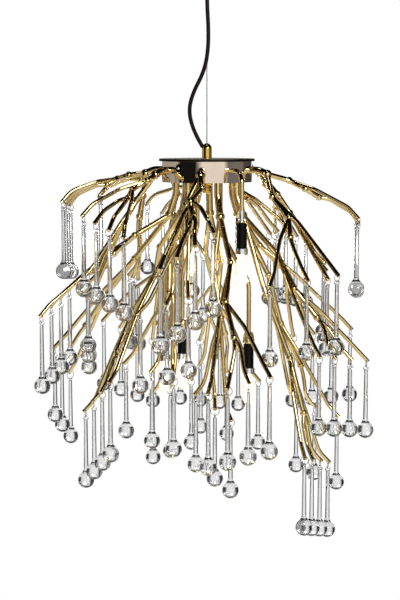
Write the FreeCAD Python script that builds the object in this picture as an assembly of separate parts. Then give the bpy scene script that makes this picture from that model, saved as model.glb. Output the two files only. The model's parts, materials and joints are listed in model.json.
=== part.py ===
import FreeCAD, Part
import math
import os
from collections import namedtuple

# Droplet chandelier: a drum ring on one steel wire, with forked brass arms that
# carry glass drops on thin wire rings, and capsule lamps among the arms.
# Millimetres, +Z up. The origin is on the ceiling, at the middle of the ceiling plate.
# Azimuth 0 is +X, 90 is +Y, and 270 is the front.

Vector = FreeCAD.Vector
UP = Vector(0, 0, 1)
ORIGIN = Vector(0, 0, 0)

# Clearances
SEAT_GAP = 0.1
LOOSE_GAP = 0.3

# Ceiling fitting
CUP_DIAMETER = 100.0
CUP_DEPTH = 28.0
CUP_WALL = 1.5
CUP_CORNER_RADIUS = 8.0
CEILING_PLATE_THICKNESS = 2.5
CEILING_POST_DIAMETER = 16.0
CEILING_SCREW_SPACING = 64.0
CEILING_SCREW_HOLE_DIAMETER = 5.0
CABLE_ENTRY_DIAMETER = 12.0
CABLE_ENTRY_OFFSET = 24.0
GRIPPER_DIAMETER = 13.0
GRIPPER_LENGTH = 20.0
GRIPPER_FLANGE_DIAMETER = 20.0
GRIPPER_FLANGE_THICKNESS = 3.0
GRIPPER_SPIGOT_DIAMETER = 8.0
GRIPPER_SPIGOT_LENGTH = 12.0
GRIPPER_CHAMFER = 2.0
CORD_GRIP_DIAMETER = 13.0
CORD_GRIP_TIP_DIAMETER = 9.5
CORD_GRIP_LENGTH = 22.0
CORD_GRIP_COLLAR_HEIGHT = 4.0

# Suspension
HANGING_HEIGHT = 318.0
WIRE_DIAMETER = 2.0
WIRE_STOP_DIAMETER = 6.0
WIRE_STOP_HEIGHT = 5.0
CORD_DIAMETER = 7.0
CORD_ROUTE = [
    (-7.2, -2.3, 20.0),
    (-21.0, -4.5, 42.4),
    (-32.0, -8.0, 79.0),
    (-26.0, -10.0, 110.0),
    (-5.0, -12.0, 150.0),
    (2.0, -13.2, 185.0),
    (2.6, -15.4, 225.0),
    (0.0, -18.0, 264.0),
    (0.0, -18.0, 300.0),
]

# Drum ring
CAP_DIAMETER = 17.5
CAP_HEIGHT = 27.0
CAP_DOME_HEIGHT = 11.0
CAP_DOME_FULLNESS = 0.71
CAP_CHAMBER_DIAMETER = 12.0
CAP_ROOF_THICKNESS = 9.0
TOP_PLATE_DIAMETER = 168.0
TOP_PLATE_THICKNESS = 4.5
BAND_DIAMETER = 159.0
BAND_HEIGHT = 36.0
BAND_WALL = 2.0
BAND_ROOT_DEPTH = 15.0
BOTTOM_PLATE_THICKNESS = 3.0
STEM_DIAMETER = 10.0
STEM_BORE_DIAMETER = 6.0
STEM_RISE = 7.0
FINIAL_DIAMETER = 19.0
FINIAL_NECK_DIAMETER = 13.0
FINIAL_NECK_HEIGHT = 3.0

# Arms
CROWN_RADIUS = 300.0
CROWN_FALL = 520.0
TRUNK_DIAMETER = 12.5
LIMB_DIAMETER = 9.5
TWIG_DIAMETER = 7.0
KNUCKLE_SWELL = 1.3
ROOT_TAIL = 9.0
NUT_WIDTH = 17.0
NUT_THICKNESS = 5.0
FORK_OUT = 30.0
FORK_SINK = 7.0
PLATE_ROOT_RADIUS = 54.0
PLATE_ROOT_RUN = 22.0
PLATE_FORK_FALL = 58.0
PLATE_FORK_OUT = 12.0
TWIG_SPREAD = 52.0
TWIG_REACH = 78.0
LIMB_SWAY = 8.0
LIMB_ARCH = 6.0
LAST_RISE = 5.0
KNUCKLE_PLACES = ((0.42, 1, 1.0), (0.74, -1, 0.8))
TWIG_KNUCKLES = {3: (1, 3, 2), 4: (1, 3, 3, 2)}
TWIG_BOW = 5.0
TWIG_BOW_SHARE = 0.45
TWIG_SWAY = 4.0
ELBOW_OUT = 16.0
ELBOW_RISE = 17.0
TIP_OVERRUN = 5.0
BEND_RADIUS = 45.0

# Drops and their rings
HANG_RING_RADIUS = 7.4
HANG_WIRE_DIAMETER = 1.2
DROP_LENGTH = 128.0
BALL_DIAMETER = 29.0
EYE_DIAMETER = 10.0
EYE_WIRE_DIAMETER = 3.0
EYE_SINK = 0.3
DROP_STEM_TOP_DIAMETER = 6.6
DROP_STEM_END_DIAMETER = 8.2
DROP_FLARE_RADIUS = 13.0

# Lamps
LAMP_ARM_DIAMETER = 8.0
LAMP_ROOT_RADIUS = 26.0
LAMP_TUBE_DIAMETER = 9.6
LAMP_TUBE_LENGTH = 20.0
SOCKET_DIAMETER = 18.0
SOCKET_LENGTH = 44.0
SOCKET_SHOULDER_HEIGHT = 3.0
SOCKET_BORE_DIAMETER = 12.0
SOCKET_BORE_DEPTH = 12.0
COLLAR_DIAMETER = 21.5
COLLAR_HEIGHT = 10.0
BULB_DIAMETER = 19.0
BULB_LENGTH = 78.0
BULB_NECK_DIAMETER = 10.0
BULB_NECK_LENGTH = 6.0

# Where each limb's row of drops hangs: azimuth of its middle, reach and fall as shares
# of the crown, turn, slope and relative spread of the row, and the number of drops.
Limb = namedtuple("Limb", "azimuth reach fall turn slope spread drops")
Arm = namedtuple("Arm", "azimuth limbs")

UPPER_ARMS = [
    Arm(342, [Limb(358.3, 0.881, 0.204, -5.3, -7.9, 0.98, 4), Limb(316.1, 0.74, 0.378, -38, 8.6, 1.1, 3)]),
    Arm(30, [Limb(51.3, 0.855, 0.281, -20, 1.5, 1, 4), Limb(359.1, 0.7, 0.377, 1.5, 17.8, 0.67, 3)]),
    Arm(80, [Limb(107, 0.798, 0.217, -13.8, 28.1, 0.95, 4), Limb(46, 0.636, 0.258, -22, -12.1, 0.67, 3)]),
    Arm(128, [Limb(154.6, 0.714, 0.131, 30, 5.1, 0.96, 4), Limb(104.1, 0.61, 0.395, -1, -34, 0.91, 3)]),
    Arm(172, [Limb(172, 0.84, 0.15, 6, 5.9, 0.98, 4), Limb(147, 0.528, 0.414, 24, 11.7, 0.73, 3)]),
    Arm(216, [Limb(226.7, 0.826, 0.202, -4.7, -15.8, 1.06, 4), Limb(198, 0.718, 0.415, -14, 32.5, 0.89, 3)]),
    Arm(264, [Limb(262.8, 0.867, 0.266, 33.6, 30, 1.03, 4), Limb(246.7, 0.601, 0.455, 13, 18.8, 0.83, 3)]),
]
LOWER_ARMS = [
    Arm(342, [Limb(336, 0.848, 0.647, -29.7, -9.1, 1.05, 4), Limb(336, 0.694, 0.995, -6, -15.9, 0.96, 4)]),
    Arm(33, [Limb(24.5, 0.78, 0.615, 40.7, -9.8, 1.09, 4), Limb(12.7, 0.686, 0.869, 44.1, 13.6, 0.83, 3)]),
    Arm(85, [Limb(88.7, 0.929, 0.698, 1.6, 6.3, 1.12, 4), Limb(76.5, 0.64, 0.79, 18.2, 16.9, 1.12, 3)]),
    Arm(134, [Limb(126.1, 0.851, 0.636, -14.9, 22.2, 1.03, 4), Limb(116.1, 0.49, 0.823, -6.6, -16.3, 0.76, 3)]),
    Arm(182, [Limb(188.3, 0.89, 0.477, -33.1, -20, 0.98, 4), Limb(162.4, 0.93, 0.713, 5.9, 32.7, 1.07, 3)]),
    Arm(232, [Limb(213.9, 0.746, 0.766, -3.8, 34, -1.12, 4), Limb(213.1, 0.398, 0.7, 15.3, -7.8, 1.11, 3)]),
    Arm(290, [Limb(282.1, 0.804, 0.688, -23.5, 17.1, 1.01, 4), Limb(274.8, 0.413, 0.8, -19.8, -34, 0.71, 3)]),
]
LIMB_HANDS = (1, -1)
ROW_PLACES = {3: (-1.0, 0.1, 1.0), 4: (-1.0, -0.36, 0.31, 1.0)}

# Each lamp: azimuth at the drum and at the lamp, reach and fall of the lamp's top.
Lamp = namedtuple("Lamp", "root azimuth reach fall")
UPPER_LAMPS = [Lamp(300, 300, 0.39, 0.165), Lamp(58, 58, 0.39, 0.17), Lamp(104, 104, 0.39, 0.17)]
LOWER_LAMPS = [Lamp(336, 335, 0.27, 0.58), Lamp(130, 126, 0.25, 0.56), Lamp(200, 196, 0.26, 0.54)]

# Levels worked out from the sizes above
DRUM_TOP = -(CUP_DEPTH + HANGING_HEIGHT)
BAND_TOP = DRUM_TOP - TOP_PLATE_THICKNESS
BAND_BOTTOM = BAND_TOP - BAND_HEIGHT
PLATE_TOP = BAND_BOTTOM + BOTTOM_PLATE_THICKNESS
BAND_ROOT = BAND_TOP - BAND_ROOT_DEPTH
BAND_RADIUS = BAND_DIAMETER / 2
HANG_WIRE_RADIUS = HANG_WIRE_DIAMETER / 2
RING_SAG = HANG_RING_RADIUS - math.sqrt(HANG_RING_RADIUS ** 2 - (TWIG_DIAMETER / 2) ** 2)
TIP_HOLE_RADIUS = RING_SAG / 2 + HANG_WIRE_RADIUS + LOOSE_GAP
PIVOT_DROP = 2 * HANG_RING_RADIUS - RING_SAG / 2
EYE_RADIUS = (EYE_DIAMETER - EYE_WIRE_DIAMETER) / 2
EYE_DROP = EYE_RADIUS - EYE_WIRE_DIAMETER / 2 - HANG_WIRE_RADIUS - LOOSE_GAP


def polar(azimuth, radius, height):
    """A point given by its azimuth in degrees, its distance from the axis and its height."""
    angle = math.radians(azimuth)
    return Vector(radius * math.cos(angle), radius * math.sin(angle), height)


def disc(radius, height, base, axis=UP):
    return Part.makeCylinder(radius, height, base, axis)


def revolved(edges):
    """A solid turned about the Z axis from a closed profile in the XZ plane."""
    face = Part.Face(Part.Wire(edges))
    return face.revolve(ORIGIN, UP, 360)


def line(start, end):
    return Part.LineSegment(start, end).toShape()


def arc(start, middle, end):
    return Part.Arc(start, middle, end).toShape()


def profile(*points):
    """Straight profile edges through (radius, height) points, closed back to the first."""
    corners = [Vector(radius, 0, height) for radius, height in points]
    return [line(a, b) for a, b in zip(corners, corners[1:] + corners[:1])]


def bent_path(points, widest, share=0.45):
    """Straight runs joined by tangent arcs, and the radius of each arc."""
    edges = []
    radii = []
    start = points[0]
    for before, corner, after in zip(points, points[1:], points[2:]):
        back = before - corner
        ahead = after - corner
        half_turn = (math.pi - back.getAngle(ahead)) / 2
        cut = share * min(back.Length, ahead.Length)
        radius = min(widest, cut / math.tan(half_turn))
        cut = radius * math.tan(half_turn)
        back.normalize()
        ahead.normalize()
        inward = (back + ahead).normalize()
        enter = corner + back * cut
        leave = corner + ahead * cut
        middle = corner + inward * (radius / math.cos(half_turn) - radius)
        edges.append(line(start, enter))
        edges.append(arc(enter, middle, leave))
        radii.append(radius)
        start = leave
    edges.append(line(start, points[-1]))
    return edges, radii


def round_runs(edges, diameter):
    """A round bar along each straight run and each bend of a path."""
    runs = []
    for edge in edges:
        start = edge.valueAt(edge.FirstParameter)
        ahead = edge.tangentAt(edge.FirstParameter)
        section = Part.Face(Part.Wire(Part.Circle(start, ahead, diameter / 2).toShape()))
        if edge.Curve.TypeId == "Part::GeomCircle":
            turn = math.degrees(edge.Length / edge.Curve.Radius)
            runs.append(section.revolve(edge.Curve.Center, edge.Curve.Axis, turn))
        else:
            runs.append(section.extrude(ahead * edge.Length))
    return runs


def tube(points, diameter, widest=BEND_RADIUS):
    """A round bar along a bent path."""
    runs = round_runs(bent_path(points, widest)[0], diameter)
    return runs[0].multiFuse(runs[1:])


def row_of(limb):
    """The tip points of a limb's row and the direction along the row."""
    middle = polar(limb.azimuth, limb.reach * CROWN_RADIUS, DRUM_TOP - limb.fall * CROWN_FALL)
    level = polar(limb.azimuth + 90 + limb.turn, 1, 0)
    rise = math.radians(limb.slope)
    along = level * math.cos(rise) + UP * math.sin(rise)
    half = TWIG_SPREAD * limb.spread
    tips = [middle + along * (half * place) for place in ROW_PLACES[limb.drops]]
    return middle, tips, along, level


def trunk_points(arm, upper):
    """Centre line of an arm's trunk, from inside the drum to its fork."""
    if upper:
        inner = polar(arm.azimuth, BAND_RADIUS - BAND_WALL - ROOT_TAIL, BAND_ROOT)
        outer = polar(arm.azimuth, BAND_RADIUS + FORK_OUT / 2, BAND_ROOT)
        fork = polar(arm.azimuth, BAND_RADIUS + FORK_OUT, BAND_ROOT - FORK_SINK)
    else:
        inner = polar(arm.azimuth, PLATE_ROOT_RADIUS, PLATE_TOP + ROOT_TAIL)
        outer = polar(arm.azimuth, PLATE_ROOT_RADIUS, BAND_BOTTOM - PLATE_ROOT_RUN)
        fork_radius = PLATE_ROOT_RADIUS + PLATE_FORK_OUT
        fork = polar(arm.azimuth, fork_radius, BAND_BOTTOM - PLATE_FORK_FALL)
    return [inner, outer, fork]


def twig_points(start, tip, hand):
    """Centre line of a twig: out from its knuckle in a bow, then over an elbow and down to its tip."""
    out = Vector(tip.x - start.x, tip.y - start.y, 0).normalize()
    elbow = tip - out * ELBOW_OUT + UP * ELBOW_RISE
    bow = start + (elbow - start) * TWIG_BOW_SHARE + UP * TWIG_BOW + out.cross(UP) * (TWIG_SWAY * hand)
    end = tip + (tip - elbow).normalize() * TIP_OVERRUN
    return [start, bow, elbow, end]


def limb_lines(fork, limb, hand):
    """Centre lines of a limb, from knuckle to knuckle, and of its twigs; hand is its first twig's side."""
    middle, tips, _, level = row_of(limb)
    ahead = (middle - fork).normalize()
    last = middle - ahead * TWIG_REACH + UP * LAST_RISE
    path = [fork]
    for share, side, rise in KNUCKLE_PLACES:
        sway = level * (LIMB_SWAY * side * hand)
        path.append(fork + (last - fork) * share + sway + UP * (LIMB_ARCH * rise))
    path.append(last)
    ordered = tips if hand > 0 else tips[::-1]
    twigs = []
    for number, tip in zip(TWIG_KNUCKLES[limb.drops], ordered):
        side = hand if number == 1 else -hand
        twigs.append(twig_points(path[number], tip, side))
    return path, twigs


def hang_points(twigs):
    """The point of each twig where its ring hangs, and the level direction square to the twig."""
    points = []
    for *_, elbow, end in twigs:
        ahead = (end - elbow).normalize()
        points.append((end - ahead * TIP_OVERRUN, ahead.cross(UP).normalize()))
    return points


def knuckle(diameter, place, ahead):
    """A ball around a tube's joint, with its poles along the tube."""
    return Part.makeSphere(diameter / 2 * KNUCKLE_SWELL, place, ahead)


def branch_arm(arm, upper):
    """One brazed arm: trunk, fork, two limbs, knuckles and twigs with drilled tips."""
    trunk = trunk_points(arm, upper)
    fork = trunk[-1]
    pieces = round_runs(bent_path(trunk, BEND_RADIUS)[0], TRUNK_DIAMETER)
    pieces.append(knuckle(TRUNK_DIAMETER, fork, fork - trunk[-2]))
    holes = []
    for limb, hand in zip(arm.limbs, LIMB_HANDS):
        path, twigs = limb_lines(fork, limb, hand)
        pieces += round_runs(bent_path(path, BEND_RADIUS)[0], LIMB_DIAMETER)
        for before, place in zip(path, path[1:]):
            pieces.append(knuckle(LIMB_DIAMETER, place, place - before))
        for points in twigs:
            pieces += round_runs(bent_path(points, BEND_RADIUS)[0], TWIG_DIAMETER)
        for tip, square in hang_points(twigs):
            holes.append(disc(TIP_HOLE_RADIUS, 2 * TWIG_DIAMETER, tip - square * TWIG_DIAMETER, square))
    return pieces[0].multiFuse(pieces[1:]).cut(Part.makeCompound(holes))


def glass_drop():
    """A solid glass drop below its eye, with the pivot of its eye at the origin."""
    eye = Vector(0, 0, -EYE_DROP)
    top = eye.z - EYE_RADIUS + EYE_WIRE_DIAMETER * EYE_SINK
    ball_radius = BALL_DIAMETER / 2
    centre = eye.z + EYE_DIAMETER / 2 - DROP_LENGTH + ball_radius
    neck = DROP_STEM_TOP_DIAMETER / 2
    end = DROP_STEM_END_DIAMETER / 2
    flare_out = end + DROP_FLARE_RADIUS
    flare_up = math.sqrt((ball_radius + DROP_FLARE_RADIUS) ** 2 - flare_out ** 2)
    share = ball_radius / (ball_radius + DROP_FLARE_RADIUS)
    stem_end = Vector(end, 0, centre + flare_up)
    shoulder = Vector(flare_out * share, 0, centre + flare_up * share)
    flare_centre = Vector(flare_out, 0, centre + flare_up)
    towards = ((stem_end + shoulder) * 0.5 - flare_centre).normalize()
    round_top = neck / 2
    lip = Vector(neck - round_top * (1 - math.sqrt(0.5)), 0, top - round_top * (1 - math.sqrt(0.5)))
    edges = [
        line(Vector(0, 0, top), Vector(neck - round_top, 0, top)),
        arc(Vector(neck - round_top, 0, top), lip, Vector(neck, 0, top - round_top)),
        line(Vector(neck, 0, top - round_top), stem_end),
        arc(stem_end, flare_centre + towards * DROP_FLARE_RADIUS, shoulder),
        arc(shoulder, Vector(ball_radius, 0, centre), Vector(0, 0, centre - ball_radius)),
        line(Vector(0, 0, centre - ball_radius), Vector(0, 0, top)),
    ]
    ring = Part.makeTorus(EYE_RADIUS, EYE_WIRE_DIAMETER / 2, eye, Vector(1, 0, 0))
    return revolved(edges).fuse(ring)


def turned_to(shape, level, place):
    """A copy of a shape with its own X axis turned to a level direction, at a place."""
    turn = FreeCAD.Rotation(UP, math.degrees(math.atan2(level.y, level.x)))
    copy = shape.copy()
    copy.Placement = FreeCAD.Placement(place, turn)
    return copy


def pivot_of(tip):
    return tip - UP * PIVOT_DROP


def drop_row(points, drop):
    return Part.makeCompound([turned_to(drop, square, pivot_of(tip)) for tip, square in points])


def hang_ring(tip, square):
    centre = tip + UP * (RING_SAG / 2 - HANG_RING_RADIUS)
    return Part.makeTorus(HANG_RING_RADIUS, HANG_WIRE_RADIUS, centre, square.cross(UP))


def hex_nut(place, axis, bore):
    """A hexagon nut with its seat at a place, standing along an axis."""
    corners = [polar(60 * k, NUT_WIDTH / math.sqrt(3), 0) for k in range(7)]
    blank = Part.Face(Part.makePolygon(corners)).extrude(UP * NUT_THICKNESS)
    nut = blank.cut(disc(bore / 2 + SEAT_GAP, NUT_THICKNESS, ORIGIN))
    nut.Placement = FreeCAD.Placement(place, FreeCAD.Rotation(UP, axis))
    return nut


def band_roots():
    """Azimuth and diameter of each tube through the band."""
    arms = [(arm.azimuth, TRUNK_DIAMETER) for arm in UPPER_ARMS]
    return arms + [(lamp.root, LAMP_ARM_DIAMETER) for lamp in UPPER_LAMPS]


def plate_roots():
    """Azimuth, distance from the axis and diameter of each tube through the bottom plate."""
    arms = [(arm.azimuth, PLATE_ROOT_RADIUS, TRUNK_DIAMETER) for arm in LOWER_ARMS]
    return arms + [(lamp.root, LAMP_ROOT_RADIUS, LAMP_ARM_DIAMETER) for lamp in LOWER_LAMPS]


def arm_nuts():
    """Nuts on the tube tails inside the drum."""
    inner = BAND_RADIUS - BAND_WALL
    seat = math.sqrt(inner ** 2 - (NUT_WIDTH / math.sqrt(3)) ** 2) - SEAT_GAP
    nuts = []
    for azimuth, bore in band_roots():
        nuts.append(hex_nut(polar(azimuth, seat, BAND_ROOT), polar(azimuth, -1, 0), bore))
    for azimuth, radius, bore in plate_roots():
        nuts.append(hex_nut(polar(azimuth, radius, PLATE_TOP), UP, bore))
    return Part.makeCompound(nuts)


def top_plate():
    plate = disc(TOP_PLATE_DIAMETER / 2, TOP_PLATE_THICKNESS, Vector(0, 0, BAND_TOP))
    plate = plate.makeFillet(TOP_PLATE_THICKNESS / 3, [plate.Edges[0], plate.Edges[2]])
    return plate.cut(disc(STEM_DIAMETER / 2 + SEAT_GAP, TOP_PLATE_THICKNESS, Vector(0, 0, BAND_TOP)))


def ring_band():
    base = Vector(0, 0, BAND_BOTTOM)
    band = disc(BAND_RADIUS, BAND_HEIGHT, base).cut(disc(BAND_RADIUS - BAND_WALL, BAND_HEIGHT, base))
    holes = []
    for azimuth, bore in band_roots():
        start = polar(azimuth, BAND_RADIUS / 2, BAND_ROOT)
        holes.append(disc(bore / 2 + SEAT_GAP, BAND_RADIUS, start, polar(azimuth, 1, 0)))
    return band.cut(Part.makeCompound(holes))


def bottom_plate():
    base = Vector(0, 0, BAND_BOTTOM)
    plate = disc(BAND_RADIUS - BAND_WALL - SEAT_GAP, BOTTOM_PLATE_THICKNESS, base)
    holes = [disc(STEM_DIAMETER / 2 + SEAT_GAP, BOTTOM_PLATE_THICKNESS, base)]
    for azimuth, radius, bore in plate_roots():
        centre = polar(azimuth, radius, BAND_BOTTOM)
        holes.append(disc(bore / 2 + SEAT_GAP, BOTTOM_PLATE_THICKNESS, centre))
    return plate.cut(Part.makeCompound(holes))


def finial_ball():
    """The finial and the hollow stem that clamps the drum together."""
    ball_radius = FINIAL_DIAMETER / 2
    neck = disc(FINIAL_NECK_DIAMETER / 2, ball_radius, Vector(0, 0, BAND_BOTTOM - ball_radius))
    ball = Part.makeSphere(ball_radius, Vector(0, 0, BAND_BOTTOM - FINIAL_NECK_HEIGHT - ball_radius))
    stem_top = DRUM_TOP + STEM_RISE
    stem = disc(STEM_DIAMETER / 2, stem_top - BAND_BOTTOM + FINIAL_NECK_HEIGHT,
                Vector(0, 0, BAND_BOTTOM - FINIAL_NECK_HEIGHT))
    bore = disc(STEM_BORE_DIAMETER / 2, stem_top - BAND_BOTTOM, Vector(0, 0, BAND_BOTTOM))
    return neck.multiFuse([ball, stem]).cut(bore)


def cord_axis():
    """The place and direction of the cord's lower end."""
    place = Vector(*CORD_ROUTE[0]) + UP * DRUM_TOP
    return place, (Vector(*CORD_ROUTE[1]) - Vector(*CORD_ROUTE[0])).normalize()


def wire_cap():
    """Bullet-shaped cap: domed outside, with a chamber for the wire's stop."""
    radius = CAP_DIAMETER / 2
    shoulder = CAP_HEIGHT - CAP_DOME_HEIGHT
    bulge = Vector(radius * CAP_DOME_FULLNESS, 0, shoulder + CAP_DOME_HEIGHT * CAP_DOME_FULLNESS)
    crown = [
        line(Vector(0, 0, 0), Vector(radius, 0, 0)),
        line(Vector(radius, 0, 0), Vector(radius, 0, shoulder)),
        arc(Vector(radius, 0, shoulder), bulge, Vector(0, 0, CAP_HEIGHT)),
        line(Vector(0, 0, CAP_HEIGHT), Vector(0, 0, 0)),
    ]
    cap = revolved(crown)
    cap.translate(Vector(0, 0, DRUM_TOP))
    roof = CAP_HEIGHT - CAP_ROOF_THICKNESS
    thread = disc(STEM_DIAMETER / 2 + SEAT_GAP, STEM_RISE, Vector(0, 0, DRUM_TOP))
    chamber = disc(CAP_CHAMBER_DIAMETER / 2, roof - STEM_RISE, Vector(0, 0, DRUM_TOP + STEM_RISE))
    wire_hole = disc(WIRE_DIAMETER / 2 + LOOSE_GAP, CAP_ROOF_THICKNESS, Vector(0, 0, DRUM_TOP + roof))
    place, out = cord_axis()
    cord_hole = disc(CORD_DIAMETER / 2 + LOOSE_GAP, CAP_HEIGHT, place - out * LOOSE_GAP, out)
    return cap.cut(thread).cut(chamber).cut(wire_hole).cut(cord_hole)


def suspension_wire():
    """A straight wire from inside the gripper to a stop under the cap's roof."""
    roof = DRUM_TOP + CAP_HEIGHT - CAP_ROOF_THICKNESS
    stop_top = roof - LOOSE_GAP
    top = -CUP_DEPTH - GRIPPER_FLANGE_THICKNESS
    stop = disc(WIRE_STOP_DIAMETER / 2, WIRE_STOP_HEIGHT, Vector(0, 0, stop_top - WIRE_STOP_HEIGHT))
    wire = disc(WIRE_DIAMETER / 2, top - stop_top, Vector(0, 0, stop_top))
    return stop.fuse(wire)


def power_cord():
    points = [Vector(*point) + UP * DRUM_TOP for point in CORD_ROUTE]
    edges, radii = bent_path(points, HANGING_HEIGHT)
    runs = round_runs(edges, CORD_DIAMETER)
    cord = runs[0].multiFuse(runs[1:])
    length = sum(edge.Length for edge in edges)
    fullness = cord.Volume / (math.pi * CORD_DIAMETER ** 2 / 4 * length)
    print("cord radii", [round(radius, 1) for radius in radii])
    print("cord length", round(length, 1), "volume against section", round(fullness, 4))
    return cord


def ceiling_plate():
    """A disc with a post that the gripper screws into, and holes for screws and house cable."""
    radius = CUP_DIAMETER / 2 - CUP_WALL - LOOSE_GAP
    plate = disc(radius, CEILING_PLATE_THICKNESS, Vector(0, 0, -CEILING_PLATE_THICKNESS))
    floor = CUP_DEPTH - CUP_WALL
    post = disc(CEILING_POST_DIAMETER / 2, floor, Vector(0, 0, -floor))
    spigot = disc(GRIPPER_SPIGOT_DIAMETER / 2 + SEAT_GAP, GRIPPER_SPIGOT_LENGTH, Vector(0, 0, -floor))
    holes = [spigot]
    for side in (-1, 1):
        centre = Vector(side * CEILING_SCREW_SPACING / 2, 0, -CEILING_PLATE_THICKNESS)
        holes.append(disc(CEILING_SCREW_HOLE_DIAMETER / 2, CEILING_PLATE_THICKNESS, centre))
    entry = Vector(0, CABLE_ENTRY_OFFSET, -CEILING_PLATE_THICKNESS)
    holes.append(disc(CABLE_ENTRY_DIAMETER / 2, CEILING_PLATE_THICKNESS, entry))
    return plate.fuse(post).cut(Part.makeCompound(holes))


def ceiling_cup():
    """A drawn cup with a rounded corner, bored for the gripper and the cord grip."""
    outer = CUP_DIAMETER / 2
    inner = outer - CUP_WALL
    bend = CUP_CORNER_RADIUS
    inner_bend = bend - CUP_WALL
    slant = math.sqrt(0.5)
    bottom = -CUP_DEPTH
    floor = bottom + CUP_WALL
    corner = Vector(outer - bend, 0, bottom + bend)
    edges = [
        line(Vector(0, 0, bottom), Vector(outer - bend, 0, bottom)),
        arc(Vector(outer - bend, 0, bottom), corner + Vector(slant, 0, -slant) * bend,
            Vector(outer, 0, bottom + bend)),
        line(Vector(outer, 0, bottom + bend), Vector(outer, 0, 0)),
        line(Vector(outer, 0, 0), Vector(inner, 0, 0)),
        line(Vector(inner, 0, 0), Vector(inner, 0, bottom + bend)),
        arc(Vector(inner, 0, bottom + bend), corner + Vector(slant, 0, -slant) * inner_bend,
            Vector(outer - bend, 0, floor)),
        line(Vector(outer - bend, 0, floor), Vector(0, 0, floor)),
        line(Vector(0, 0, floor), Vector(0, 0, bottom)),
    ]
    gripper_hole = disc(GRIPPER_SPIGOT_DIAMETER / 2 + LOOSE_GAP, CUP_WALL, Vector(0, 0, bottom))
    cord_hole = disc(CORD_DIAMETER / 2 + LOOSE_GAP, CUP_WALL, cord_top())
    return revolved(edges).cut(gripper_hole).cut(cord_hole)


def cord_top():
    """The point of the cup's underside where the cord passes through."""
    return Vector(CORD_ROUTE[-1][0], CORD_ROUTE[-1][1], -CUP_DEPTH)


def wire_gripper():
    """A stepped turned piece: spigot above the flange, body below it, bored for the wire."""
    body_end = -CUP_DEPTH - GRIPPER_LENGTH
    flange_end = -CUP_DEPTH - GRIPPER_FLANGE_THICKNESS
    tip = GRIPPER_DIAMETER / 2 - GRIPPER_CHAMFER
    points = [
        (0, body_end), (tip, body_end), (GRIPPER_DIAMETER / 2, body_end + 2 * GRIPPER_CHAMFER),
        (GRIPPER_DIAMETER / 2, flange_end), (GRIPPER_FLANGE_DIAMETER / 2, flange_end),
        (GRIPPER_FLANGE_DIAMETER / 2, -CUP_DEPTH), (GRIPPER_SPIGOT_DIAMETER / 2, -CUP_DEPTH),
        (GRIPPER_SPIGOT_DIAMETER / 2, -CUP_DEPTH + GRIPPER_SPIGOT_LENGTH),
        (0, -CUP_DEPTH + GRIPPER_SPIGOT_LENGTH),
    ]
    bore = disc(WIRE_DIAMETER / 2 + SEAT_GAP, GRIPPER_LENGTH, Vector(0, 0, body_end))
    return revolved(profile(*points)).cut(bore)


def cord_grip():
    """A tapered strain relief under the cup."""
    top = cord_top()
    end = -CORD_GRIP_LENGTH
    points = [
        (0, end), (CORD_GRIP_TIP_DIAMETER / 2, end), (CORD_GRIP_DIAMETER / 2, -CORD_GRIP_COLLAR_HEIGHT),
        (CORD_GRIP_DIAMETER / 2, 0), (0, 0),
    ]
    bore = disc(CORD_DIAMETER / 2 + SEAT_GAP, CORD_GRIP_LENGTH, Vector(0, 0, end))
    grip = revolved(profile(*points)).cut(bore)
    grip.translate(top)
    return grip


def lamp_top(lamp):
    return polar(lamp.azimuth, lamp.reach * CROWN_RADIUS, DRUM_TOP - lamp.fall * CROWN_FALL)


def lamp_arm_points(lamp, upper):
    """Centre line of a lamp arm, from inside the drum to the top of its lamp."""
    end = lamp_top(lamp)
    reach = lamp.reach * CROWN_RADIUS
    if upper:
        inner = polar(lamp.root, BAND_RADIUS - BAND_WALL - ROOT_TAIL, BAND_ROOT)
        return [inner, polar(lamp.root, reach, BAND_ROOT), end]
    inner = polar(lamp.root, LAMP_ROOT_RADIUS, PLATE_TOP + ROOT_TAIL)
    drop = (BAND_BOTTOM - end.z) / 3
    first = polar(lamp.root, LAMP_ROOT_RADIUS, BAND_BOTTOM - drop)
    second = polar(lamp.azimuth, reach, BAND_BOTTOM - 2 * drop)
    return [inner, first, second, end]


def all_lamps():
    return [(lamp, True) for lamp in UPPER_LAMPS] + [(lamp, False) for lamp in LOWER_LAMPS]


def at_lamps(shape):
    """A copy of a shape below the top of every lamp."""
    tops = [lamp_top(lamp) for lamp, _ in all_lamps()]
    return Part.makeCompound([turned_to(shape, Vector(1, 0, 0), top) for top in tops])


def lamp_tube():
    return disc(LAMP_TUBE_DIAMETER / 2, LAMP_TUBE_LENGTH, Vector(0, 0, -LAMP_TUBE_LENGTH))


def lamp_socket():
    radius = SOCKET_DIAMETER / 2
    top = -LAMP_TUBE_LENGTH
    end = top - SOCKET_LENGTH
    bore_top = end + SOCKET_BORE_DEPTH
    bore = SOCKET_BORE_DIAMETER / 2
    points = [
        (0, top), (LAMP_TUBE_DIAMETER / 2 + SOCKET_SHOULDER_HEIGHT / 2, top),
        (radius, top - SOCKET_SHOULDER_HEIGHT), (radius, end), (bore, end), (bore, bore_top), (0, bore_top),
    ]
    return revolved(profile(*points))


def lamp_collar():
    base = Vector(0, 0, -LAMP_TUBE_LENGTH - SOCKET_LENGTH - COLLAR_HEIGHT)
    bore = disc(SOCKET_BORE_DIAMETER / 2, COLLAR_HEIGHT, base)
    return disc(COLLAR_DIAMETER / 2, COLLAR_HEIGHT, base).cut(bore)


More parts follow.
